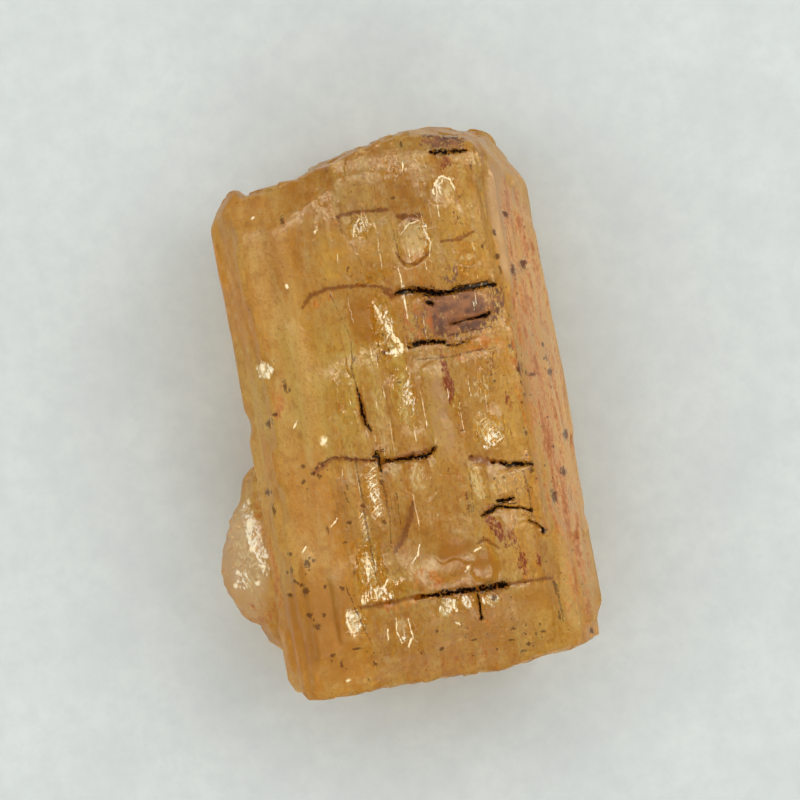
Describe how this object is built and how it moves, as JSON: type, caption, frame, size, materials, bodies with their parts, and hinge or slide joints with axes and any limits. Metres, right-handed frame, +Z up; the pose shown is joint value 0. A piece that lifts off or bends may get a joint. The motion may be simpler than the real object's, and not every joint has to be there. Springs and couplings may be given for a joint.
{
  "type": "topaz crystal",
  "caption": "Rough amber-coloured topaz crystal: a striated prism with cleavage ledges, broken ends and a small side growth, lying on a flat prism face.",
  "frame": {"origin": "middle of the bounding box on the resting face, z = 0", "axes": "+Y along the crystal's c axis, towards the end with the short corner; +Z up, out of the upper prism face; +X across the prism, towards the streaked side face"},
  "size_m": [0.015, 0.0218, 0.0098],
  "materials": {
    "topaz": "amber to honey yellow, translucent, with glassy to satin broken faces and red-brown streaks"
  },
  "bodies": {
    "root": {"crystal": "topaz"}
  },
  "joints": []
}
